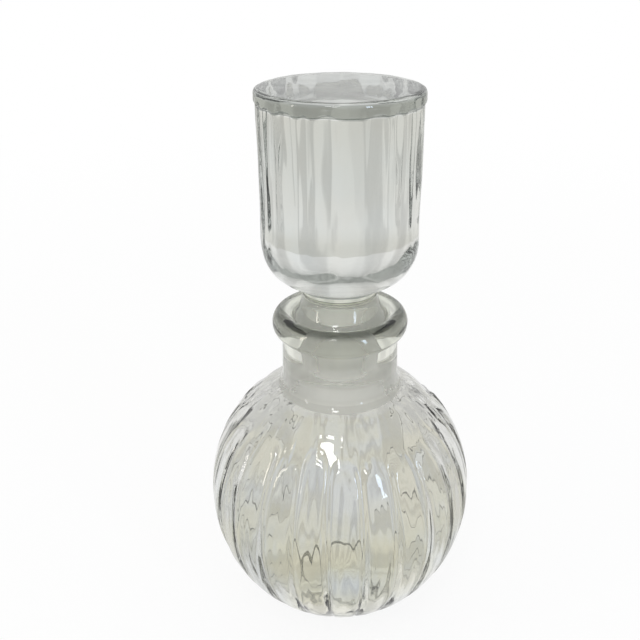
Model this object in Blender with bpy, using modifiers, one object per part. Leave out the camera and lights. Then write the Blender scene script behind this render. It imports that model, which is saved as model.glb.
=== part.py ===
"""Ribbed glass carafe with a solid, fluted glass stopper standing in its neck."""
import math

import bpy

# All lengths are in metres. Heights are counted from the table the carafe stands on.

# Body
BODY_RADIUS = 0.0525             # widest radius, over the ribs
BODY_WALL = 0.0045               # glass around the hollow
BASE_THICKNESS = 0.0065          # glass between the table and the hollow, at the foot
FLOOR_RISE = 0.0012              # the hollow's floor is this much higher in its middle
PUSH_UP = 0.0020                 # recess under the base
FOOT_WIDTH = 0.0040              # flat ring the carafe stands on
FOOT_EDGE = 0.0006               # rounding outside that ring
RIB_DEPTH = 0.0011               # groove between two ribs

# Neck and rim
NECK_RADIUS = 0.0220
NECK_LENGTH = 0.0186             # from the shoulder to the underside of the rim
NECK_FILLET = 0.0030             # rounding where the neck meets the shoulder
RIM_PROJECTION = 0.0036          # rim beyond the neck
RIM_HALF_WIDTH = 0.0042
RIM_HALF_HEIGHT = 0.0049
SEAT_DEPTH = 0.0040              # ledge for the stopper's flange, below the top of the rim
BORE_RADIUS = 0.0098             # ground mouth of the bore, at the seat
PASSAGE_RADIUS = 0.0120          # clear passage below the ground length
THROAT_LENGTH = 0.0327           # from the seat down to the top of the hollow
THROAT_ROUNDING = 0.0060         # height of the bend from the hollow into the passage

# Stopper
HEAD_RADIUS = 0.0290
HEAD_HEIGHT = 0.0671             # from the stem to the underside of the top disc
HEAD_DRAFT = 0.0003              # the head is this much wider at the disc
HEAD_ROUNDING = 0.0191           # height of the rounded lower end of the head
DISC_LIP = 0.0005                # disc beyond the head
DISC_THICKNESS = 0.0046
DISC_EDGE = 0.0013               # rounding of the disc's upper edge
STEM_RADIUS = 0.0140
STEM_LENGTH = 0.0118
FLANGE_RADIUS = 0.0182
FLANGE_THICKNESS = 0.0022
FLANGE_EDGE = 0.0004             # rounding of the flange's edge
PLUG_LENGTH = 0.0170
PLUG_EDGE = 0.0018               # rounding of the plug's lower end
FLUTE_DEPTH = 0.0005             # hollow of a flute between two ridges
FIT_GAP = 0.0003                 # all round, between the stopper and the bottle

# Shapes and counts, which no length changes
RIB_COUNT = 24
RIB_STEP_SHARES = (0.0, 0.11, 0.5, 0.89)      # columns of points across one rib
FLUTE_STEP_SHARES = (0.0, 0.25, 0.5, 0.75)    # and across one flute
STEPS = RIB_COUNT * len(RIB_STEP_SHARES)
RIB_TURN = math.radians(-5.0)    # the first valley, from +X
FLUTE_TURN = math.radians(0.7)   # the first ridge
VALLEY_SHARE = 0.14              # half width of a valley, of half a rib
CROWN_SHARE = 0.25               # part of the depth that is the rib's own rounding
MERGE_SHARE = 0.0005             # of the body's radius: points this close are one point
BORE_TAPER_SHARE = 0.045         # radius lost per length of plug
BODY_SIZE_SHARE = 1.0223         # mean radius of the outline, of the widest radius
BODY_CENTRE_SHARE = 0.9529       # height of the outline's centre, of the widest radius
BODY_WAVE_SHARES = (-0.0196, 0.0077, -0.0024, -0.0019)
RIB_LOW_SHARE = 0.10             # the ribs begin here, of the body's height
RIB_HIGH_SHARE = 0.88            # and end in rounded tongues here
RIB_FADE_SHARE = 0.07
FLUTE_LOW_SHARE = 0.20           # the flutes begin here, of the head's height
FLUTE_HIGH_SHARE = 0.985
FLUTE_FADE_SHARE = 0.06
SMOOTH_ANGLE = math.radians(35.0)


def clear_objects():
    for old in list(bpy.data.objects):
        bpy.data.objects.remove(old, do_unlink=True)


def glass(name, colour, roughness):
    """Clear glass with the tint and the polish given."""
    material = bpy.data.materials.new(name)
    material.use_nodes = True
    surface = material.node_tree.nodes["Principled BSDF"]
    surface.inputs["Base Color"].default_value = colour
    surface.inputs["Roughness"].default_value = roughness
    surface.inputs["Metallic"].default_value = 0.0
    surface.inputs["IOR"].default_value = 1.5
    surface.inputs["Transmission Weight"].default_value = 1.0
    material.diffuse_color = colour
    return material


def body_reach(polar):
    """Distance of the outline from its centre, at an angle above the horizontal."""
    second, third, fourth, fifth = BODY_WAVE_SHARES
    wave = (1.0 + second * math.cos(2.0 * polar) + third * math.sin(3.0 * polar)
            + fourth * math.cos(4.0 * polar) + fifth * math.sin(5.0 * polar))
    return BODY_RADIUS * BODY_SIZE_SHARE * wave


def body_point(polar, inset):
    """Radius and height of the outline, or of a line that runs inside it."""
    reach = body_reach(polar) - inset
    return (reach * math.cos(polar),
            BODY_RADIUS * BODY_CENTRE_SHARE + reach * math.sin(polar))


def polar_where(test, low, high):
    """The angle between low and high where the test turns from true to false."""
    for _ in range(50):
        middle = 0.5 * (low + high)
        if test(middle):
            low = middle
        else:
            high = middle
    return low


def body_line(start, end, count, inset):
    """Points of the outline from one angle to another, both ends included."""
    return [body_point(start + (end - start) * i / count, inset) for i in range(count + 1)]


def ellipse(centre, half_width, half_height, start, end, count):
    """Points of an ellipse from one angle to another, both ends included."""
    points = []
    for i in range(count + 1):
        angle = math.radians(start + (end - start) * i / count)
        points.append((centre[0] + half_width * math.cos(angle),
                       centre[1] + half_height * math.sin(angle)))
    return points


def curve(start, knee, end, count):
    """Points of a soft bend between two ends that heads for the knee from both."""
    points = []
    for i in range(count + 1):
        t = i / count
        points.append(tuple((1.0 - t) ** 2 * a + 2.0 * t * (1.0 - t) * b + t ** 2 * c
                            for a, b, c in zip(start, knee, end)))
    return points


def fade(value, low, high, width):
    """One between the two heights, falling softly to zero at each of them."""
    share = min(1.0, max(0.0, min(value - low, high - value) / width))
    return share * share * (3.0 - 2.0 * share)


# Heights that follow from the sizes above
NECK_POLAR = polar_where(
    lambda polar: body_point(polar, 0.0)[0] > NECK_RADIUS + NECK_FILLET,
    0.0, 0.5 * math.pi)
SHOULDER = body_point(NECK_POLAR, 0.0)
RIM_CENTRE_RADIUS = NECK_RADIUS + RIM_PROJECTION - RIM_HALF_WIDTH
RIM_UNDERSIDE_ANGLE = -math.acos(min(1.0, (NECK_RADIUS - RIM_CENTRE_RADIUS) / RIM_HALF_WIDTH))
NECK_TOP = SHOULDER[1] + NECK_FILLET + NECK_LENGTH
RIM_CENTRE_HEIGHT = NECK_TOP - RIM_HALF_HEIGHT * math.sin(RIM_UNDERSIDE_ANGLE)
RIM_TOP = RIM_CENTRE_HEIGHT + RIM_HALF_HEIGHT
SEAT_HEIGHT = RIM_TOP - SEAT_DEPTH
RECESS_RADIUS = FLANGE_RADIUS + FIT_GAP


def bore_radius(depth):
    """Radius of the ground bore at a depth below the seat."""
    return BORE_RADIUS - BORE_TAPER_SHARE * depth


def bottle_profile():
    """The bottle's outline with the depth share of its ribs, from the hollow's floor,
    up the inside, over the rim and down the outside to the middle of the base."""
    inner_low = polar_where(lambda polar: body_point(polar, BODY_WALL)[1] < BASE_THICKNESS,
                            -0.5 * math.pi, 0.0)
    inner_high = polar_where(
        lambda polar: body_point(polar, BODY_WALL)[1] < SEAT_HEIGHT - THROAT_LENGTH,
        0.0, 0.5 * math.pi)
    inside = body_line(inner_low, inner_high, 9, BODY_WALL)
    floor = [(0.0, BASE_THICKNESS + FLOOR_RISE),
             (0.6 * inside[0][0], BASE_THICKNESS + 0.4 * FLOOR_RISE)]
    hollow_top = inside[-1][1]
    throat = curve(inside[-1], (PASSAGE_RADIUS, hollow_top + 0.1 * THROAT_ROUNDING),
                   (PASSAGE_RADIUS, hollow_top + THROAT_ROUNDING), 5)[1:]
    ground_end = PLUG_LENGTH + PLUG_EDGE
    ground_bottom = SEAT_HEIGHT - ground_end
    passage = [(PASSAGE_RADIUS, throat[-1][1] + 0.45 * (ground_bottom - throat[-1][1])),
               (bore_radius(ground_end), ground_bottom),
               (bore_radius(FIT_GAP), SEAT_HEIGHT - FIT_GAP),
               (BORE_RADIUS + FIT_GAP, SEAT_HEIGHT)]
    reach = min(0.98, (RIM_CENTRE_RADIUS - RECESS_RADIUS) / RIM_HALF_WIDTH)
    lip_angle = math.degrees(math.acos(-reach))
    rim = ellipse((RIM_CENTRE_RADIUS, RIM_CENTRE_HEIGHT), RIM_HALF_WIDTH, RIM_HALF_HEIGHT,
                  lip_angle, math.degrees(RIM_UNDERSIDE_ANGLE), 11)
    seat = [(RECESS_RADIUS, SEAT_HEIGHT)]
    neck = curve((NECK_RADIUS, SHOULDER[1] + 1.6 * NECK_FILLET),
                 (NECK_RADIUS, SHOULDER[1] + 0.6 * NECK_FILLET), SHOULDER, 3)[:-1]
    foot_polar = polar_where(lambda polar: body_point(polar, 0.0)[1] < FOOT_EDGE,
                             -0.5 * math.pi, 0.0)
    outside = body_line(NECK_POLAR, foot_polar, 18, 0.0)
    foot_radius = outside[-1][0] - 2.0 * FOOT_EDGE
    base = [(foot_radius, 0.0), (foot_radius - FOOT_WIDTH, 0.0),
            (foot_radius - FOOT_WIDTH - PUSH_UP, 0.8 * PUSH_UP), (0.0, PUSH_UP)]
    body_height = SHOULDER[1]
    plain = floor + inside + throat + passage + seat + rim + neck
    points = [(radius, height, 0.0) for radius, height in plain]
    for radius, height in outside:
        share = fade(height, RIB_LOW_SHARE * body_height, RIB_HIGH_SHARE * body_height,
                     RIB_FADE_SHARE * body_height)
        points.append((radius, height, share))
    points += [(radius, height, 0.0) for radius, height in base]
    return points


def head_bottom(height, stem_radius):
    """Rounded lower end of the head, fuller than an ellipse, from the top down."""
    points = []
    for i in range(8):
        angle = math.radians(4.0 + 74.0 * i / 7.0)
        points.append((stem_radius + (HEAD_RADIUS - stem_radius) * math.cos(angle) ** 0.74,
                       height - HEAD_ROUNDING * math.sin(angle) ** 0.74))
    return points


def stopper_profile():
    """The stopper's outline with the depth share of its flutes, from the middle of the
    top down to the middle of the plug's end. Heights count from the seat."""
    flange_low = FIT_GAP
    flange_top = flange_low + FLANGE_THICKNESS
    stem_top = flange_top + STEM_LENGTH
    disc_low = stem_top + HEAD_HEIGHT
    disc_top = disc_low + DISC_THICKNESS
    top_radius = HEAD_RADIUS + HEAD_DRAFT
    disc_radius = top_radius + DISC_LIP
    disc = [(0.0, disc_top), (0.55 * disc_radius, disc_top)]
    disc += ellipse((disc_radius - DISC_EDGE, disc_top - DISC_EDGE), DISC_EDGE, DISC_EDGE,
                    90.0, 0.0, 3)
    disc += [(disc_radius, disc_low + DISC_LIP), (top_radius, disc_low)]
    corner_height = stem_top + HEAD_ROUNDING
    wall = []
    for share in (0.985, 0.95, 0.91, 0.7, 0.45, 0.2):
        wall.append((HEAD_RADIUS + share * HEAD_DRAFT,
                     corner_height + share * (disc_low - corner_height)))
    corner = head_bottom(corner_height, 0.29 * HEAD_RADIUS)
    stem_start = (STEM_RADIUS, 0.5 * (flange_top + stem_top))
    under = [point for point in corner if point[0] > STEM_RADIUS + 0.15 * STEM_LENGTH]
    stem = curve(under[-1], (STEM_RADIUS, stem_top - 0.05 * STEM_LENGTH), stem_start, 3)[1:]
    flange_knee = (STEM_RADIUS + 0.4 * (FLANGE_RADIUS - STEM_RADIUS), flange_top + 0.1 * STEM_LENGTH)
    stem += curve(stem_start, flange_knee, (FLANGE_RADIUS - FLANGE_EDGE, flange_top), 4)[1:]
    flange = [(FLANGE_RADIUS, flange_top - FLANGE_EDGE), (FLANGE_RADIUS, flange_low + FLANGE_EDGE),
              (FLANGE_RADIUS - FLANGE_EDGE, flange_low)]
    plug_top = bore_radius(0.0) - FIT_GAP
    plug_low = bore_radius(PLUG_LENGTH - PLUG_EDGE) - FIT_GAP
    plug = [(plug_top + FIT_GAP, flange_low), (plug_top, flange_low - FIT_GAP),
            (plug_low, PLUG_EDGE - PLUG_LENGTH)]
    plug += ellipse((plug_low - PLUG_EDGE, PLUG_EDGE - PLUG_LENGTH), PLUG_EDGE, PLUG_EDGE,
                    0.0, -90.0, 3)[1:]
    plug += [(0.0, -PLUG_LENGTH)]
    points = [(radius, height, 0.0) for radius, height in disc]
    for radius, height in wall + under:
        share = fade(height, stem_top + FLUTE_LOW_SHARE * HEAD_HEIGHT,
                     stem_top + FLUTE_HIGH_SHARE * HEAD_HEIGHT, FLUTE_FADE_SHARE * HEAD_HEIGHT)
        points.append((radius, height, share))
    points += [(radius, height, 0.0) for radius, height in stem + flange + plug]
    return points


def turned(name, collection, profile, material):
    """Turns a profile of radius, height and depth share once around the upright axis."""
    mesh = bpy.data.meshes.new(name)
    mesh.from_pydata([(radius, 0.0, height) for radius, height, _ in profile],
                     [(i, i + 1) for i in range(len(profile) - 1)], [])
    mesh.materials.append(material)
    part = bpy.data.objects.new(name, mesh)
    collection.objects.link(part)
    depth_shares = part.vertex_groups.new(name="depth share")
    for i, point in enumerate(profile):
        depth_shares.add([i], point[2], 'REPLACE')
    turn = part.modifiers.new("Turn", 'SCREW')
    turn.axis = 'Z'
    turn.angle = 2.0 * math.pi
    turn.screw_offset = 0.0
    turn.steps = STEPS
    turn.render_steps = STEPS
    turn.use_merge_vertices = True
    turn.merge_threshold = MERGE_SHARE * BODY_RADIUS
    bpy.context.view_layer.objects.active = part
    part.select_set(True)
    bpy.ops.object.modifier_apply(modifier=turn.name)
    part.select_set(False)
    return part


def press(part, depth, section, step_shares, turn):
    """Presses a repeated pattern into the turned surface, as deep as the depth shares say.
    The section gives the depth across one rib or flute, for a share from 0 to 1. The
    columns of points stand at the step shares, counted from the angle turn."""
    for point in part.data.vertices:
        radius = math.hypot(point.co.x, point.co.y)
        if radius < MERGE_SHARE * BODY_RADIUS:
            continue
        column = round(math.atan2(point.co.y, point.co.x) / (2.0 * math.pi) * STEPS) % STEPS
        rib, step = divmod(column, len(step_shares))
        across = step_shares[step]
        angle = turn + 2.0 * math.pi * (rib + across) / RIB_COUNT
        radius -= depth * sum(group.weight for group in point.groups) * section(across)
        point.co.x = radius * math.cos(angle)
        point.co.y = radius * math.sin(angle)


def rib_section(across):
    """Nearly flat ribs with a narrow valley between them."""
    reach = 2.0 * min(across, 1.0 - across)
    valley = math.exp(-(reach / VALLEY_SHARE) ** 2)
    return (1.0 - CROWN_SHARE) * valley + CROWN_SHARE * (1.0 - reach) ** 2


def flute_section(across):
    """Hollow flutes with a narrow ridge between them."""
    return 4.0 * across * (1.0 - across)


def smooth(part):
    part.data.shade_smooth()
    part.data.set_sharp_from_angle(angle=SMOOTH_ANGLE)
    part.data.update()


def build():
    clear_objects()
    carafe = bpy.data.collections.new("Ribbed carafe")
    bpy.context.scene.collection.children.link(carafe)
    bottle_glass = glass("Bottle glass", (0.88, 0.90, 0.86, 1.0), 0.02)
    stopper_glass = glass("Stopper glass", (0.91, 0.92, 0.91, 1.0), 0.02)

    bottle = turned("bottle", carafe, bottle_profile(), bottle_glass)
    press(bottle, RIB_DEPTH, rib_section, RIB_STEP_SHARES, RIB_TURN)
    smooth(bottle)

    stopper = turned("stopper", carafe, stopper_profile(), stopper_glass)
    press(stopper, FLUTE_DEPTH, flute_section, FLUTE_STEP_SHARES, FLUTE_TURN)
    smooth(stopper)
    stopper.location = (0.0, 0.0, SEAT_HEIGHT)


build()
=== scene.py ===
import math
import random

import bpy
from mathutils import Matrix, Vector


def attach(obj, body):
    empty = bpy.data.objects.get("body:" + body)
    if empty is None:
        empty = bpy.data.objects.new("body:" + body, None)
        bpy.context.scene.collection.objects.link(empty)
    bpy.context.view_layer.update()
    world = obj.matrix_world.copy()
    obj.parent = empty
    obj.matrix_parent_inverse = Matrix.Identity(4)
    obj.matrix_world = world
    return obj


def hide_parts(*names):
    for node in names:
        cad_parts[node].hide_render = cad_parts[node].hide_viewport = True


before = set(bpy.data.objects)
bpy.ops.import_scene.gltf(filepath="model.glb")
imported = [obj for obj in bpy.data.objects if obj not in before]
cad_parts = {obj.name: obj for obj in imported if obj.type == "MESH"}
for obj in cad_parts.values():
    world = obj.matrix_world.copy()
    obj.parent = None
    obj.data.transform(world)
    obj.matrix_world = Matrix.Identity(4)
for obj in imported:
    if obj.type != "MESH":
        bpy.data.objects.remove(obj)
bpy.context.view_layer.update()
mm = 0.001  # the pieces' dictionaries are in millimetres and degrees
samePoint = 0.01  # the ends of two lines that lie this close are one point
mergeGap = 0.002  # and so are vertices this close, at the poles and the seam of a turned piece
waveStart = 0.37  # the waves begin off the noise's own centre, by this share of their size


def selectOnly(obj=None):
    if bpy.context.object and bpy.context.object.mode != "OBJECT":
        bpy.ops.object.mode_set(mode="OBJECT")
    bpy.ops.object.select_all(action="DESELECT")
    if obj:
        obj.select_set(True)
        bpy.context.view_layer.objects.active = obj


# lines of a half section, as (radius, height) points
def softLine(knots, perSpan):
    line = []
    for i in range(len(knots) - 1):
        b, c = Vector(knots[i]), Vector(knots[i + 1])
        a = Vector(knots[i - 1]) if i else 2 * b - c
        d = Vector(knots[i + 2]) if i + 2 < len(knots) else 2 * c - b
        for k in range(perSpan):
            t = k / perSpan
            line.append(tuple(0.5 * (2 * b + (c - a) * t + (2 * a - 5 * b + 4 * c - d) * t ** 2
                                     + (3 * b - a - 3 * c + d) * t ** 3)))
    line.append(tuple(knots[-1]))
    return line


def ovalLine(centre, width, height, start, end, count):
    turns = [math.radians(start + (end - start) * i / count) for i in range(count + 1)]
    return [(centre[0] + width * math.cos(a), centre[1] + height * math.sin(a)) for a in turns]


def straightLine(start, end, count):
    return [tuple(Vector(start).lerp(Vector(end), i / count)) for i in range(count + 1)]


def joinedLine(parts):
    line = list(parts[0])
    for part in parts[1:]:
        line += part[1:] if math.dist(line[-1], part[0]) < samePoint else part
    return line


def knotsFrom(radius, height, steps):
    # points of a curve, given as steps out and up from one place
    return [(radius + out, height + up) for out, up in steps]


def softStep(value, low, high):
    t = min(1.0, max(0.0, (value - low) / (high - low)))
    return t * t * (3 - 2 * t)


def turnedPiece(name, line, columns):
    # one vertex, extruded along the half section, then turned once around
    selectOnly()
    radius, height = line[0]
    bpy.ops.mesh.primitive_plane_add(size=mm, location=(0, -radius * mm, height * mm))
    piece = bpy.context.object
    piece.name = piece.data.name = name
    bpy.ops.object.transform_apply(location=True, rotation=True, scale=True)
    bpy.ops.object.mode_set(mode="EDIT")
    bpy.ops.mesh.select_all(action="SELECT")
    bpy.ops.mesh.merge(type="CENTER")
    for before, after in zip(line, line[1:]):
        step = (0, (before[0] - after[0]) * mm, (after[1] - before[1]) * mm)
        bpy.ops.mesh.extrude_region_move(TRANSFORM_OT_translate={"value": step})
    bpy.ops.object.mode_set(mode="OBJECT")
    turn = piece.modifiers.new("Turn", "SCREW")
    turn.steps = turn.render_steps = columns
    bpy.ops.object.modifier_apply(modifier=turn.name)
    bpy.ops.object.mode_set(mode="EDIT")
    bpy.ops.mesh.select_all(action="SELECT")
    bpy.ops.mesh.remove_doubles(threshold=mergeGap * mm)
    bpy.ops.mesh.normals_make_consistent(inside=False)
    bpy.ops.mesh.select_all(action="DESELECT")
    bpy.ops.object.mode_set(mode="OBJECT")
    return piece


def weighted(piece, groupName, weightAt):
    # paints a vertex group by rule: angle in degrees from the front, radius and height in mm
    group = piece.vertex_groups.new(name=groupName)
    for v in piece.data.vertices:
        angle = math.degrees(math.atan2(v.co.x, -v.co.y))
        weight = weightAt(angle, math.hypot(v.co.x, v.co.y) / mm, v.co.z / mm)
        if weight > 0.0:
            group.add([v.index], min(1.0, weight), "REPLACE")
    return group.name


def pushedIn(piece, groupName, depth):
    # a Displace modifier, applied: it goes into the glass, as far as the group says
    selectOnly(piece)
    push = piece.modifiers.new("Press", "DISPLACE")
    push.strength = -depth * mm
    push.direction = "NORMAL"
    push.vertex_group = groupName
    push.mid_level = 0.0
    bpy.ops.object.modifier_apply(modifier=push.name)


def uneven(piece, groupName, depth, size, tall, turn=0.0):
    # soft waves that only go into the glass, each some times as tall as it is wide
    texture = bpy.data.textures.new(groupName, "CLOUDS")
    texture.noise_scale = size * mm
    texture.noise_depth = 0
    texture.noise_basis = "ORIGINAL_PERLIN"
    bpy.ops.object.empty_add(location=(waveStart * mm * size, 0, 0))
    measure = bpy.context.object
    measure.scale = (1, 1, tall)
    measure.rotation_euler = (0, 0, math.radians(turn))
    selectOnly(piece)
    push = piece.modifiers.new("Waves", "DISPLACE")
    push.strength = depth * mm
    push.direction = "NORMAL"
    push.vertex_group = groupName
    push.texture = texture
    push.texture_coords = "OBJECT"
    push.texture_coords_object = measure
    push.mid_level = 1.0
    bpy.ops.object.modifier_apply(modifier=push.name)
    bpy.data.objects.remove(measure)


def spread(seed, count, amount):
    # small differences between ribs that were meant to be alike, the same in each run
    source = random.Random(seed)
    return [source.uniform(-amount, amount) for _ in range(count)]


# bottle: body, neck and rim in one. A curve lists its points as steps out and up from the place
# that bottleLine names for it, or else from the middle of the foot.

bottle = {
    "columns": 480, "spanRows": 3, "floorRows": 4, "boreRows": 4, "rimRows": 26,
    "bodyMean": 53.6, "bodyCentre": 50.03, "bodyWaves": (-0.0196, 0.0077, -0.0024, -0.0019),
    "outsideTurns": (62.0, -64.3), "outsideRows": 49,  # degrees above the body's centre
    "insideTurns": (-56.0, 57.0), "insideRows": 34,
    "wall": 4.5, "floorCurve": ((0.0, 7.7), (9.0, 7.5), (17.0, 7.0), (22.5, 7.1)),
    "footOuter": 21.4, "footEdge": ((0.5, 0.12), (-0.3, 0.0)),
    "footInner": 17.4, "footHollow": ((0.4, 0.0), (-0.5, 0.25), (-2.4, 1.5)),
    "pushUpCurve": ((8.0, 1.9), (0.0, 2.0)),
    "neckRadius": 22.0,
    "neckCurve": ((0.0, 118.97), (0.02, 116.0), (0.15, 109.0), (0.3, 103.5), (1.0, 100.4)),
    "rimRadius": 21.4, "rimHeight": 124.72, "rimWidth": 4.2, "rimTall": 4.9,
    "seat": 125.62, "recess": 18.5, "recessEdge": ((-1.2, 0.05), (-0.25, 0.3), (0.0, 1.0)),
    "bore": 9.85, "boreEdge": ((0.0, -0.6), (0.15, -0.15), (0.7, 0.0)),
    "boreEnd": 8.95, "boreLength": 18.8, "boreEndCurve": ((0.4, 0.0), (0.06, 2.0)),
    "passage": 14.4, "passageTopCurve": ((-0.4, -2.6),), "throatHeight": 93.4,
    "throatCurve": ((9.8, 0.3), (6.6, 1.9), (3.9, 3.7), (1.8, 5.7), (0.5, 8.2)),
    "ribs": 24, "ribTurn": -5.0, "ribDepth": 1.1, "valleyWidth": 0.15, "crown": 0.25,
    "ribUneven": 0.2, "wanderHeights": (20.0, 80.0),  # between these the valleys leave their places
    "skinSlack": 0.6,  # a point this near a skin lies on it
    "innerShare": 0.3,  # of ribDepth, for the ribs that show on the inside
    "ribTop": 88.0, "ribFade": 8.0, "ribLow": 5.0, "ribLowFade": 7.0,
    "ribArch": 7.0, "archUneven": 2.0,  # the ribs end in round tongues, some higher than others
    "waveDepth": 0.34, "waveSize": 7.0, "waveTall": 4.0, "waveTurn": 20.0,
    "streakDepth": 0.2, "streakSize": 2.1, "streakTall": 12.0,
    "footSmooth": 1.0, "throatLow": 60.0, "throatMargin": 2.0,  # no waves on the foot and the throat
    "neckCalm": 0.8, "neckCalmHeights": (95.0, 105.0),  # and weaker ones on the neck
}


def bodyReach(polar):
    a, b, c, d = bottle["bodyWaves"]
    return bottle["bodyMean"] * (1 + a * math.cos(2 * polar) + b * math.sin(3 * polar)
                                 + c * math.cos(4 * polar) + d * math.sin(5 * polar))


def bodyPoint(polar, inset):
    reach = bodyReach(polar) - inset
    return (reach * math.cos(polar), bottle["bodyCentre"] + reach * math.sin(polar))


def bodyLine(turns, count, inset=0.0):
    start, end = turns
    return [bodyPoint(math.radians(start + (end - start) * i / count), inset)
            for i in range(count + 1)]


def bottleLine():
    s = bottle
    rows = s["spanRows"]
    inside = bodyLine(s["insideTurns"], s["insideRows"], s["wall"])
    body = bodyLine(s["outsideTurns"], s["outsideRows"])
    floorLine = softLine([*s["floorCurve"], inside[0]], s["floorRows"])
    groundLow = s["seat"] - s["boreLength"]
    throat = softLine([inside[-1], *knotsFrom(s["passage"], s["throatHeight"], s["throatCurve"]),
                       *knotsFrom(s["passage"], groundLow, s["passageTopCurve"]),
                       *knotsFrom(s["boreEnd"], groundLow, s["boreEndCurve"])], rows)
    mouth = knotsFrom(s["bore"], s["seat"], s["boreEdge"])
    bore = straightLine(throat[-1], mouth[0], s["boreRows"])
    seat = softLine(mouth + knotsFrom(s["recess"], s["seat"], s["recessEdge"]), rows)
    lip = math.degrees(math.acos(-(s["rimRadius"] - s["recess"]) / s["rimWidth"]))
    under = math.degrees(math.acos((s["neckRadius"] - s["rimRadius"]) / s["rimWidth"]))
    rim = ovalLine((s["rimRadius"], s["rimHeight"]), s["rimWidth"], s["rimTall"], lip, -under,
                   s["rimRows"])
    neck = softLine(knotsFrom(s["neckRadius"], 0.0, s["neckCurve"]) + [body[0]], rows)
    foot = softLine([body[-1], *knotsFrom(s["footOuter"], 0.0, s["footEdge"]),
                     *knotsFrom(s["footInner"], 0.0, s["footHollow"]), *s["pushUpCurve"]], rows)
    foot = [(r, max(0.0, z)) for r, z in foot]  # nothing dips below the table
    return joinedLine([floorLine, inside, throat, bore, seat, rim, neck, body, foot])


ribShift = spread(3, bottle["ribs"], bottle["ribUneven"])
ribShare = spread(5, bottle["ribs"], bottle["ribUneven"])


def ribWeight(angle, radius, height):
    # how far a point lies below the crest of its rib, 0 to 1
    s = bottle
    polar = math.atan2(height - s["bodyCentre"], radius)
    depth = bodyReach(polar) - math.hypot(radius, height - s["bodyCentre"])
    outside = abs(depth) < s["skinSlack"]
    inside = (abs(depth - s["wall"]) < s["skinSlack"]
              and height < s["throatHeight"] - s["throatMargin"])
    if height > s["ribTop"] + s["ribFade"] or height < s["ribLow"] or not (outside or inside):
        return 0.0
    place = (angle - s["ribTurn"]) / 360.0 * s["ribs"]
    valley = round(place) % s["ribs"]
    rib = math.floor(place) % s["ribs"]
    shift = ribShift[valley] * softStep(height, *s["wanderHeights"])  # in half ribs
    across = 1.0 - min(1.0, abs(2.0 * (place - round(place)) - shift))  # 0 on the crest, 1 in the valley
    archLow = s["ribTop"] - s["ribArch"] * (1.0 + s["archUneven"] * ribShare[rib])
    if height > archLow:
        across = min(1.0, math.hypot(across, (height - archLow) / s["ribArch"]))
    valleyPart = (1.0 - s["crown"]) * math.exp(-((1.0 - across) / s["valleyWidth"]) ** 2)
    low = (valleyPart + s["crown"] * across ** 2) * (1.0 - s["ribUneven"] + ribShare[valley])
    low *= 1.0 if outside else s["innerShare"]
    return (low * (1.0 - softStep(height, s["ribTop"], s["ribTop"] + s["ribFade"]))
            * softStep(height, s["ribLow"], s["ribLow"] + s["ribLowFade"]))


def skinWeight(angle, radius, height):
    # where the hot glass ran uneven: the body and the neck, not the seat, the bore and the foot
    s = bottle
    inThroat = radius < s["passage"] + s["throatMargin"] and height > s["throatLow"]
    if inThroat or height < s["footSmooth"]:
        return 0.0
    return 1.0 - s["neckCalm"] * softStep(height, *s["neckCalmHeights"])


bottleGlass = turnedPiece("bottleGlass", bottleLine(), bottle["columns"])
pushedIn(bottleGlass, weighted(bottleGlass, "ribs", ribWeight), bottle["ribDepth"])
uneven(bottleGlass, weighted(bottleGlass, "bottleWaves", skinWeight), bottle["waveDepth"],
       bottle["waveSize"], bottle["waveTall"], bottle["waveTurn"])
uneven(bottleGlass, "bottleWaves", bottle["streakDepth"], bottle["streakSize"], bottle["streakTall"])
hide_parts("bottle")
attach(bottleGlass, "bottle")
print("bottle:", len(bottleGlass.data.polygons), "faces")

# stopper: disc, fluted head, stem, flange and plug in one. Its curves are steps as well, and those
# of discCurve are shares of discEdge.

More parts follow.
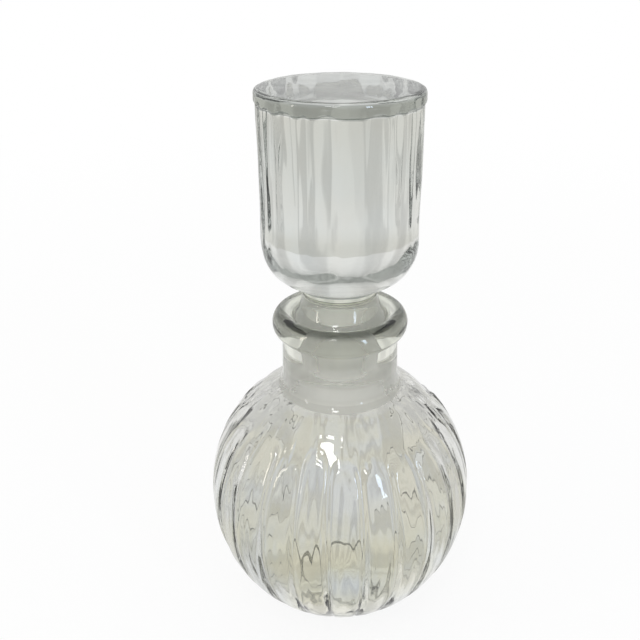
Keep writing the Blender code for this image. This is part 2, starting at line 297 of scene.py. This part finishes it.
stopper = {
    "columns": 480, "spanRows": 4, "topRows": 8, "wallRows": 40, "plugRows": 3, "sideRows": 8,
    "top": 211.6, "discRadius": 29.8, "discLow": 206.4, "discEdge": 2.4, "topMargin": 1.0,
    "discCurve": ((-1.0, 0.0), (-0.38, -0.2), (-0.06, -0.7), (0.0, -1.3)),
    "discLowCurve": ((0.02, 1.4), (-0.12, 0.5)),
    "headTop": 29.25, "headTopCurve": ((0.12, 0.0), (0.0, -0.6)),
    "headRadius": 28.95, "wallTopCurve": ((0.0, -0.9),), "wallLowCurve": ((0.1, 6.0),),
    "cornerTop": 159.2, "cornerTall": 19.1, "cornerHub": 8.4, "cornerPower": 0.84,  # 1 is an oval
    "cornerStart": 1.0, "cornerStep": 2.2, "cornerRows": 36, "cornerMargin": 2.2,
    "stem": 13.9, "stemHeight": 134.2,
    "stemCurve": ((0.75, 4.6), (0.1, 2.2), (0.4, 0.6), (1.1, -1.8)),
    "stemLowCurve": ((1.95, 2.3), (3.1, 0.75)),
    "flange": 18.2, "flangeTop": 128.1, "flangeTopCurve": ((-0.65, 0.1), (-0.12, -0.5)),
    "flangeLow": 125.95, "flangeLowCurve": ((0.0, 0.8), (-0.25, 0.15), (-1.0, 0.0)),
    "plugTop": 9.5, "plugTopCurve": ((1.0, 0.0), (0.2, -0.25), (0.0, -1.1)),
    "plugEnd": 8.75, "plugLow": 108.65,
    "plugLowCurve": ((0.0, 2.2), (-0.35, 0.9), (-1.2, 0.2), (-2.4, 0.0)),
    "flutes": 24, "fluteTurn": 0.7, "fluteDepth": 0.6, "ridgeRound": 0.2, "fluteUneven": 0.45,
    "fluteTop": 207.9, "fluteArch": 3.5, "fluteLow": 161.0, "fluteLowArch": 3.6,
    "meltDepth": 1.0, "meltSize": 6.0, "meltTall": 4.0, "meltTurn": 200.0,
    "lineDepth": 0.02, "lineSize": 2.6, "lineTall": 9.0,
    "meltStart": (129.0, 136.0), "topCalm": 0.8, "topCalmHeights": (209.0, 211.0),
    "lowShare": 0.3, "lowShareHeights": (150.0, 168.0),
}


def cornerPoint(turn):
    s = stopper
    a = math.radians(turn)
    return (s["cornerHub"] + (s["headRadius"] - s["cornerHub"]) * math.cos(a) ** s["cornerPower"],
            s["cornerTop"] - s["cornerTall"] * math.sin(a) ** s["cornerPower"])


def stopperLine():
    s = stopper
    rows, edge = s["spanRows"], s["discEdge"]
    flatEnd = s["discRadius"] - edge - s["topMargin"]
    top = straightLine((0, s["top"]), (flatEnd, s["top"]), s["topRows"])
    discSteps = [(out * edge, up * edge) for out, up in s["discCurve"]]
    disc = softLine(knotsFrom(s["discRadius"], s["top"], discSteps)
                    + knotsFrom(s["discRadius"], s["discLow"], s["discLowCurve"])
                    + knotsFrom(s["headTop"], s["discLow"], s["headTopCurve"]), rows)
    wall = straightLine(*knotsFrom(s["headTop"], s["discLow"], s["wallTopCurve"]),
                        *knotsFrom(s["headRadius"], s["cornerTop"], s["wallLowCurve"]), s["wallRows"])
    corner = [cornerPoint(s["cornerStart"] + s["cornerStep"] * i) for i in range(s["cornerRows"])]
    corner = [p for p in corner if p[0] > s["stem"] + s["cornerMargin"]]
    stem = softLine([corner[-1], *knotsFrom(s["stem"], s["stemHeight"], s["stemCurve"]),
                     *knotsFrom(s["stem"], s["flangeTop"], s["stemLowCurve"]),
                     *knotsFrom(s["flange"], s["flangeTop"], s["flangeTopCurve"]),
                     *knotsFrom(s["flange"], s["flangeLow"], s["flangeLowCurve"])], rows)
    plug = softLine(knotsFrom(s["plugTop"], s["flangeLow"], s["plugTopCurve"]), s["plugRows"])
    plugFoot = knotsFrom(s["plugEnd"], s["plugLow"], s["plugLowCurve"])
    side = straightLine(plug[-1], plugFoot[0], s["sideRows"])
    end = softLine(plugFoot + [(0, s["plugLow"])], rows)
    return joinedLine([top, disc, wall, corner, stem, plug, side, end])


ridgeShift = spread(11, stopper["flutes"], stopper["fluteUneven"])
fluteShare = spread(13, stopper["flutes"], stopper["fluteUneven"])


def fluteWeight(angle, radius, height):
    # how deep a point lies in its flute, 0 to 1
    s = stopper
    if height > s["fluteTop"] or height < s["fluteLow"]:
        return 0.0
    place = (angle - s["fluteTurn"]) / 360.0 * s["flutes"]
    ridge = round(place) % s["flutes"]
    flute = math.floor(place) % s["flutes"]
    fromRidge = min(1.0, abs(2.0 * (place - round(place)) - ridgeShift[ridge]))
    soft = s["ridgeRound"]
    fromRidge = (math.hypot(fromRidge, soft) - soft) / (math.hypot(1.0, soft) - soft)
    across = 1.0 - fromRidge  # 0 mid flute, 1 on a ridge
    topArch = s["fluteTop"] - s["fluteArch"]
    lowArch = s["fluteLow"] + s["fluteLowArch"]
    if height > topArch:
        across = math.hypot(across, (height - topArch) / s["fluteArch"])
    if height < lowArch:
        across = math.hypot(across, (lowArch - height) / s["fluteLowArch"])
    return max(0.0, 1.0 - across ** 2) * (1.0 - s["fluteUneven"] + fluteShare[flute])


def meltWeight(angle, radius, height):
    # where the stopper's pressed skin is uneven: not the flange and the plug, and the round lower
    # end of the head and the flat top only a little
    s = stopper
    lowPart = s["lowShare"] + (1.0 - s["lowShare"]) * softStep(height, *s["lowShareHeights"])
    topPart = 1.0 - s["topCalm"] * softStep(height, *s["topCalmHeights"])
    return lowPart * softStep(height, *s["meltStart"]) * topPart


stopperGlass = turnedPiece("stopperGlass", stopperLine(), stopper["columns"])
pushedIn(stopperGlass, weighted(stopperGlass, "flutes", fluteWeight), stopper["fluteDepth"])
uneven(stopperGlass, weighted(stopperGlass, "stopperWaves", meltWeight), stopper["meltDepth"],
       stopper["meltSize"], stopper["meltTall"], stopper["meltTurn"])
uneven(stopperGlass, "stopperWaves", stopper["lineDepth"], stopper["lineSize"], stopper["lineTall"])
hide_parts("stopper")
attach(stopperGlass, "stopper")
print("stopper:", len(stopperGlass.data.polygons), "faces")

# materials. A band is a tint, the radii and the heights it lies between and how soft its edge is,
# and each lies over those before it. The ground glass has only the place.

glassLook = {
    "refraction": 1.5, "patchScale": 42.0, "patchDetail": 2.0, "warmEnd": 0.34, "coolEnd": 0.66,
    "groundTint": (1.0, 1.0, 0.98, 1.0), "groundRough": 0.75, "groundSoft": 0.4,
}
bottleLook = {
    "tint": (0.78, 0.775, 0.69, 1.0),
    "warmPatch": (0.80, 0.78, 0.68, 1.0), "coolPatch": (0.765, 0.785, 0.79, 1.0),
    "absorption": 10.0, "absorptionTint": (0.60, 0.62, 0.54, 1.0),
    "bands": {
        "shoulder": ((0.82, 0.82, 0.805, 1.0), (-20.0, 80.0), (45.0, 120.0), 30.0),
        "neck": ((1.0, 1.0, 0.95, 1.0), (18.0, 23.5), (100.0, 119.4), 0.4),
        "rim": ((0.74, 0.755, 0.69, 1.0), (18.0, 40.0), (119.4, 140.0), 0.4),
        # painted shade: a soft dark band round the top of the rim, where the glass shows dark
        "lip": ((0.12, 0.13, 0.11, 1.0), (19.8, 25.2), (126.4, 131.0), 1.6),
    },
    "ground": ((-1.0, bottle["passage"] + 7.4), (92.0, bottle["seat"] + 0.3)),
}
stopperLook = {
    "tint": (0.91, 0.91, 0.885, 1.0),
    "warmPatch": (0.93, 0.91, 0.87, 1.0), "coolPatch": (0.89, 0.91, 0.91, 1.0),
    "absorption": 9.0, "absorptionTint": (0.60, 0.635, 0.62, 1.0),
    "bands": {
        # painted shade: the disc's flat top is darkened where its glass shows dark
        "top": ((0.4, 0.415, 0.39, 1.0), (-1.0, stopper["headTop"] - 1.0),
                (stopper["top"] - 0.9, stopper["top"] + 1.0), 0.4),
        # painted shade: a dark band over the disc's rounded edge and side
        "edge": ((0.3, 0.32, 0.29, 1.0), (stopper["headTop"] - 0.6, 40.0),
                 (stopper["discLow"] - 0.6, stopper["top"] + 1.0), 0.4),
        "stem": ((0.80, 0.81, 0.73, 1.0), (-1.0, 20.0),
                 (stopper["flangeLow"] + 0.2, stopper["stemHeight"] + 5.5), 0.4),
    },
    "ground": ((-1.0, stopper["flange"] + 0.1),
               (stopper["plugLow"] + 0.6, stopper["flangeLow"] + 0.35)),
}
bandSockets = ("radiusLow", "radiusHigh", "heightLow", "heightHigh", "edge")


def mathNode(nodes, operation):
    node = nodes.new("ShaderNodeMath")
    node.operation = operation
    return node


def softRamp(nodes):
    ramp = nodes.new("ShaderNodeMapRange")
    ramp.interpolation_type = "SMOOTHSTEP"
    return ramp


def colourMix(nodes):
    mix = nodes.new("ShaderNodeMix")
    mix.data_type = "RGBA"
    return mix


def bandMask():
    # a node group: 1 inside a band of radius and height on the piece, 0 outside
    group = bpy.data.node_groups.new("bandMask", "ShaderNodeTree")
    for socket in bandSockets:
        group.interface.new_socket(socket, in_out="INPUT", socket_type="NodeSocketFloat")
    group.interface.new_socket("mask", in_out="OUTPUT", socket_type="NodeSocketFloat")
    nodes, links = group.nodes, group.links
    given, result = nodes.new("NodeGroupInput"), nodes.new("NodeGroupOutput")
    place, split = nodes.new("ShaderNodeTexCoord"), nodes.new("ShaderNodeSeparateXYZ")
    flat, length = nodes.new("ShaderNodeCombineXYZ"), nodes.new("ShaderNodeVectorMath")
    length.operation = "LENGTH"
    links.new(place.outputs["Object"], split.inputs[0])
    links.new(split.outputs["X"], flat.inputs["X"])
    links.new(split.outputs["Y"], flat.inputs["Y"])
    links.new(flat.outputs[0], length.inputs[0])
    radius, height, limit = length.outputs["Value"], split.outputs["Z"], given.outputs
    found = None
    for more, less in ((radius, limit["radiusLow"]), (limit["radiusHigh"], radius),
                       (height, limit["heightLow"]), (limit["heightHigh"], height)):
        gap, ramp = mathNode(nodes, "SUBTRACT"), softRamp(nodes)
        links.new(more, gap.inputs[0])
        links.new(less, gap.inputs[1])
        links.new(gap.outputs[0], ramp.inputs["Value"])
        links.new(limit["edge"], ramp.inputs["From Max"])
        if found is None:
            found = ramp.outputs["Result"]
            continue
        both = mathNode(nodes, "MULTIPLY")
        links.new(found, both.inputs[0])
        links.new(ramp.outputs["Result"], both.inputs[1])
        found = both.outputs[0]
    links.new(found, result.inputs["mask"])
    return group


bandGroup = bandMask()


def masked(nodes, radii, heights, edge):
    mask = nodes.new("ShaderNodeGroup")
    mask.node_tree = bandGroup
    for socket, value in zip(bandSockets, (*radii, *heights, edge)):
        mask.inputs[socket].default_value = value * mm
    return mask.outputs["mask"]


def mixedTint(nodes, links, mask, base, tint):
    mix = colourMix(nodes)
    links.new(mask, mix.inputs["Factor"])
    links.new(base, mix.inputs["A"])
    mix.inputs["B"].default_value = tint
    return mix.outputs["Result"]


def patchyTint(nodes, links, look):
    # faint clouds of a warmer and a cooler glass over the base tint
    place, noise = nodes.new("ShaderNodeTexCoord"), nodes.new("ShaderNodeTexNoise")
    noise.inputs["Scale"].default_value = glassLook["patchScale"]
    noise.inputs["Detail"].default_value = glassLook["patchDetail"]
    ramp = nodes.new("ShaderNodeValToRGB")
    warm, cool = ramp.color_ramp.elements
    warm.position, warm.color = glassLook["warmEnd"], look["warmPatch"]
    cool.position, cool.color = glassLook["coolEnd"], look["coolPatch"]
    ramp.color_ramp.elements.new(0.5).color = look["tint"]  # midway between warm and cool
    links.new(place.outputs["Object"], noise.inputs["Vector"])
    links.new(noise.outputs["Fac"], ramp.inputs["Fac"])
    return ramp.outputs["Color"]


def glassMaterial(name, look):
    material = bpy.data.materials.new(name)
    material.use_nodes = True
    nodes, links = material.node_tree.nodes, material.node_tree.links
    shader = nodes["Principled BSDF"]
    shader.inputs["Transmission Weight"].default_value = 1.0
    shader.inputs["IOR"].default_value = glassLook["refraction"]
    colour = patchyTint(nodes, links, look)
    for tint, *place in look["bands"].values():
        colour = mixedTint(nodes, links, masked(nodes, *place), colour, tint)
    groundMask = masked(nodes, *look["ground"], glassLook["groundSoft"])
    colour = mixedTint(nodes, links, groundMask, colour, glassLook["groundTint"])
    links.new(colour, shader.inputs["Base Color"])
    rough = mathNode(nodes, "MULTIPLY")
    rough.inputs[1].default_value = glassLook["groundRough"]
    links.new(groundMask, rough.inputs[0])
    links.new(rough.outputs[0], shader.inputs["Roughness"])
    inside = nodes.new("ShaderNodeVolumeAbsorption")
    inside.inputs["Color"].default_value = look["absorptionTint"]
    inside.inputs["Density"].default_value = look["absorption"]
    links.new(inside.outputs["Volume"], nodes["Material Output"].inputs["Volume"])
    return material


for piece, paint in ((bottleGlass, glassMaterial("bottlePaint", bottleLook)),
                     (stopperGlass, glassMaterial("stopperPaint", stopperLook))):
    piece.data.materials.clear()
    piece.data.materials.append(paint)
    selectOnly(piece)
    bpy.ops.object.shade_smooth()
print("materials done")

# floor, air, lamps and camera

studio = {  # in metres
    "bounces": 32, "mirrorBounces": 8,
    "floorSize": 8.0, "floorDrop": 0.0002, "floorColour": (0.9, 0.9, 0.9, 1.0), "floorRough": 0.9,
    "floorGlow": 0.9, "poolNear": 0.12, "poolFar": 0.9, "farFloor": (0.82, 0.82, 0.79, 1.0),
    "horizon": (1.0, 1.0, 1.0, 1.0), "zenith": (0.85, 0.85, 0.84, 1.0), "airLow": 0.1, "airHigh": 0.9,
    "patchSize": 4.0, "patchDetail": 1.0, "patchSeed": 2.9, "patchLow": 0.4, "patchHigh": 0.56,
    "patchDim": 0.78,
    "aim": (0, 0, 0.1),
    "highPower": 1.2, "highSize": (0.2, 0.13), "highPlace": (-0.16, -0.68, 1.27),
    "highColour": (1.0, 1.0, 1.0),
    "lowPower": 1.6, "lowSize": (0.22, 0.14), "lowPlace": (-0.22, -0.85, 1.08),
    "lowColour": (1.0, 1.0, 1.0),
    "coolPower": 2.5, "coolSize": (0.1, 0.6), "coolPlace": (0.75, -0.85, 0.55),
    "coolColour": (0.66, 0.8, 1.0),
    "warmPower": 1.5, "warmSize": (0.1, 0.6), "warmPlace": (-0.95, -0.45, 0.5),
    "warmColour": (1.0, 0.94, 0.84),
}


def roomPatches(nodes, links, place):
    # broad soft differences of light around the room, the same up and down: 1 where it is bright
    flat, turned = nodes.new("ShaderNodeVectorMath"), nodes.new("ShaderNodeVectorMath")
    moved, noise = nodes.new("ShaderNodeVectorMath"), nodes.new("ShaderNodeTexNoise")
    flat.operation, turned.operation, moved.operation = "MULTIPLY", "NORMALIZE", "ADD"
    flat.inputs[1].default_value = (1, 1, 0)
    moved.inputs[1].default_value = (studio["patchSeed"], 0, 0)
    noise.inputs["Scale"].default_value = studio["patchSize"]
    noise.inputs["Detail"].default_value = studio["patchDetail"]
    ramp = softRamp(nodes)
    ramp.inputs["From Min"].default_value = studio["patchLow"]
    ramp.inputs["From Max"].default_value = studio["patchHigh"]
    ramp.inputs["To Min"].default_value = studio["patchDim"]
    links.new(place, flat.inputs[0])
    links.new(flat.outputs[0], turned.inputs[0])
    links.new(turned.outputs[0], moved.inputs[0])
    links.new(moved.outputs[0], noise.inputs["Vector"])
    links.new(noise.outputs["Fac"], ramp.inputs["Value"])
    return ramp.outputs["Result"]


def shade(nodes, links, colour, amount):
    # darkens a colour by an amount, 1 leaves it as it is
    dim = colourMix(nodes)
    dim.blend_type = "MULTIPLY"
    dim.inputs["Factor"].default_value = 1.0
    links.new(colour, dim.inputs["A"])
    links.new(amount, dim.inputs["B"])
    return dim.outputs["Result"]


def cameraWhite(nodes, links, path, colour):
    # the camera sees plain white there, everything else the colour
    pick = colourMix(nodes)
    pick.inputs["B"].default_value = studio["horizon"]
    links.new(path.outputs["Is Camera Ray"], pick.inputs["Factor"])
    links.new(colour, pick.inputs["A"])
    return pick.outputs["Result"]


# the floor glows for the eye and for what the glass shows, and takes light and shadow for the rest
selectOnly()
bpy.ops.mesh.primitive_plane_add(size=studio["floorSize"], location=(0, 0, -studio["floorDrop"]))
floor = bpy.context.object
floor.name = "floor"
floorPaint = bpy.data.materials.new("floorPaint")
floorPaint.use_nodes = True
nodes, links = floorPaint.node_tree.nodes, floorPaint.node_tree.links
matte = nodes["Principled BSDF"]
matte.inputs["Base Color"].default_value = studio["floorColour"]
matte.inputs["Roughness"].default_value = studio["floorRough"]
glow, mixed = nodes.new("ShaderNodeEmission"), nodes.new("ShaderNodeMixShader")
path = nodes.new("ShaderNodeLightPath")
seen, seenOrShown = mathNode(nodes, "ADD"), mathNode(nodes, "ADD")
share = mathNode(nodes, "MULTIPLY")
share.use_clamp = True
links.new(path.outputs["Is Camera Ray"], seen.inputs[0])
links.new(path.outputs["Is Glossy Ray"], seen.inputs[1])
links.new(seen.outputs[0], seenOrShown.inputs[0])
links.new(path.outputs["Is Transmission Ray"], seenOrShown.inputs[1])
links.new(seenOrShown.outputs[0], share.inputs[0])
links.new(share.outputs[0], mixed.inputs[0])
links.new(matte.outputs[0], mixed.inputs[1])
links.new(glow.outputs[0], mixed.inputs[2])
links.new(mixed.outputs[0], nodes["Material Output"].inputs["Surface"])

# the light lies in a pool round the carafe, and the shadow fades out where the pool ends
floorPlace, reach = nodes.new("ShaderNodeTexCoord"), nodes.new("ShaderNodeVectorMath")
reach.operation = "LENGTH"
pool, glowShare = softRamp(nodes), nodes.new("ShaderNodeMapRange")
pool.inputs["From Min"].default_value = studio["poolNear"]
pool.inputs["From Max"].default_value = studio["poolFar"]
glowShare.inputs["To Min"].default_value = studio["floorGlow"]
poolColour = colourMix(nodes)
poolColour.inputs["A"].default_value = studio["horizon"]
poolColour.inputs["B"].default_value = studio["farFloor"]
links.new(floorPlace.outputs["Object"], reach.inputs[0])
links.new(reach.outputs["Value"], pool.inputs["Value"])
links.new(pool.outputs["Result"], poolColour.inputs["Factor"])
links.new(pool.outputs["Result"], glowShare.inputs["Value"])
links.new(glowShare.outputs["Result"], share.inputs[1])
floorPatches = roomPatches(nodes, links, floorPlace.outputs["Object"])
dimmed = shade(nodes, links, poolColour.outputs["Result"], floorPatches)
links.new(cameraWhite(nodes, links, path, dimmed), glow.inputs["Color"])
floor.data.materials.append(floorPaint)

world = bpy.data.worlds.new("studioAir")
world.use_nodes = True
bpy.context.scene.world = world
nodes, links = world.node_tree.nodes, world.node_tree.links
direction, split = nodes.new("ShaderNodeTexCoord"), nodes.new("ShaderNodeSeparateXYZ")
path, ramp = nodes.new("ShaderNodeLightPath"), nodes.new("ShaderNodeValToRGB")
low, high = ramp.color_ramp.elements
low.position, low.color = studio["airLow"], studio["horizon"]
high.position, high.color = studio["airHigh"], studio["zenith"]
links.new(direction.outputs["Generated"], split.inputs[0])
links.new(split.outputs["Z"], ramp.inputs[0])
airPatches = roomPatches(nodes, links, direction.outputs["Generated"])
dimmed = shade(nodes, links, ramp.outputs["Color"], airPatches)
links.new(cameraWhite(nodes, links, path, dimmed), nodes["Background"].inputs["Color"])

for name in ("high", "low", "cool", "warm"):
    lamp = bpy.data.lights.new(name + "Light", "AREA")
    lamp.shape = "RECTANGLE"
    lamp.size, lamp.size_y = studio[name + "Size"]
    lamp.energy = studio[name + "Power"]
    lamp.color = studio[name + "Colour"]
    place = Vector(studio[name + "Place"])
    holder = bpy.data.objects.new(name + "Light", lamp)
    holder.location = place
    holder.rotation_euler = (Vector(studio["aim"]) - place).to_track_quat("-Z", "Y").to_euler()
    holder.visible_camera = False
    holder.visible_transmission = False  # mirrored by the outer skin only, no sparks inside
    bpy.context.collection.objects.link(holder)

camera = {  # in millimetres and degrees, the shift in widths of the picture
    "away": 300.84, "up": 267.57, "tilt": 25.438, "lens": 49.5, "sensor": 36.0, "shift": -0.03125,
    "near": 10.0,
}
cam = bpy.data.cameras.new("photoCamera")
cam.lens, cam.sensor_width, cam.shift_x = camera["lens"], camera["sensor"], camera["shift"]
cam.clip_start = camera["near"] * mm
photoCamera = bpy.data.objects.new("photoCamera", cam)
photoCamera.location = (0, -camera["away"] * mm, camera["up"] * mm)
photoCamera.rotation_euler = (math.radians(90.0 - camera["tilt"]), 0, 0)
bpy.context.collection.objects.link(photoCamera)
bpy.context.scene.camera = photoCamera
bpy.context.scene.view_settings.view_transform = "Standard"
# light is mirrored many times inside thick glass before it leaves again
paths = bpy.context.scene.cycles
paths.max_bounces, paths.transmission_bounces = studio["bounces"], studio["bounces"]
paths.glossy_bounces = studio["mirrorBounces"]
print("studio done")
